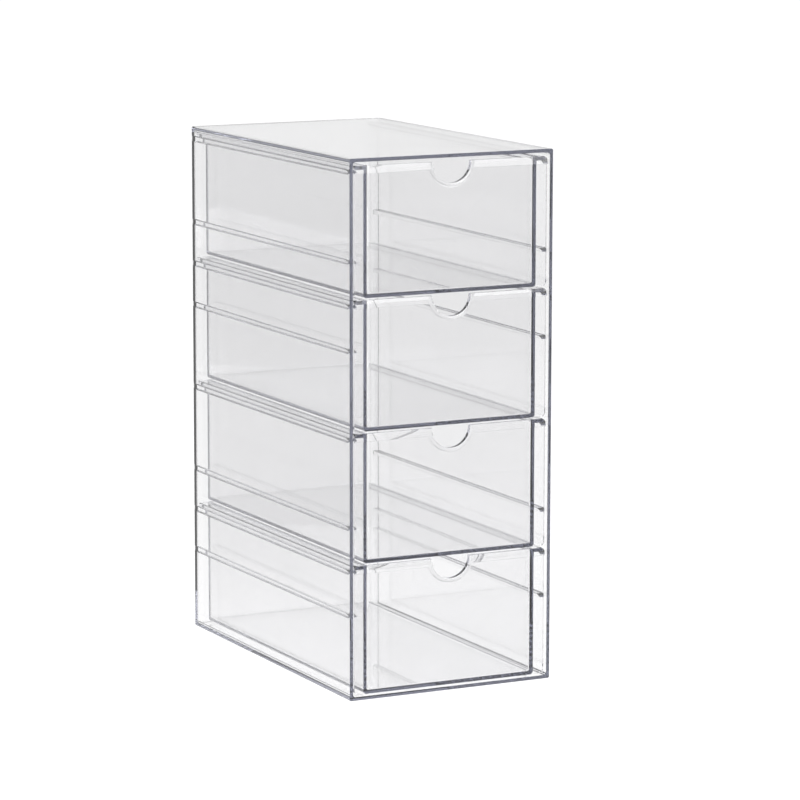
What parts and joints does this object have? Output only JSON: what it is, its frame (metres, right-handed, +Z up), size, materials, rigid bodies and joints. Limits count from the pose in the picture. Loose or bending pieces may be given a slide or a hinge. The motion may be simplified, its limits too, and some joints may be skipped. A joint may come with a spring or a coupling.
{
  "type": "tower of clear make-up drawers",
  "caption": "Tall clear casing, open at the front, with ledges up its inner sides on which open-topped drawers slide, each with side flanges and a half-round finger notch.",
  "frame": {"origin": "centre of the casing's outline, at the level of its underside", "axes": "+Z up, -Y out of the open front where the drawers come out, +X to the right of a person who faces the front"},
  "size_m": [0.127, 0.215, 0.304],
  "materials": {
    "clear_casing": "polished, clear, very slightly violet at its edges",
    "clear_drawer": "polished, clear, very slightly violet at its edges"
  },
  "bodies": {
    "casing": {"casing": "clear_casing"},
    "drawer_1": {"drawer_1": "clear_drawer"},
    "drawer_2": {"drawer_2": "clear_drawer"},
    "drawer_3": {"drawer_3": "clear_drawer"},
    "drawer_4": {"drawer_4": "clear_drawer"}
  },
  "joints": [
    {"name": "drawer_1_slide", "type": "slide", "parent": "casing", "child": "drawer_1", "axis": [0, -1, 0], "range_m": [0, 0.16]},
    {"name": "drawer_2_slide", "type": "slide", "parent": "casing", "child": "drawer_2", "axis": [0, -1, 0], "range_m": [0, 0.16]},
    {"name": "drawer_3_slide", "type": "slide", "parent": "casing", "child": "drawer_3", "axis": [0, -1, 0], "range_m": [0, 0.16]},
    {"name": "drawer_4_slide", "type": "slide", "parent": "casing", "child": "drawer_4", "axis": [0, -1, 0], "range_m": [0, 0.16]}
  ]
}
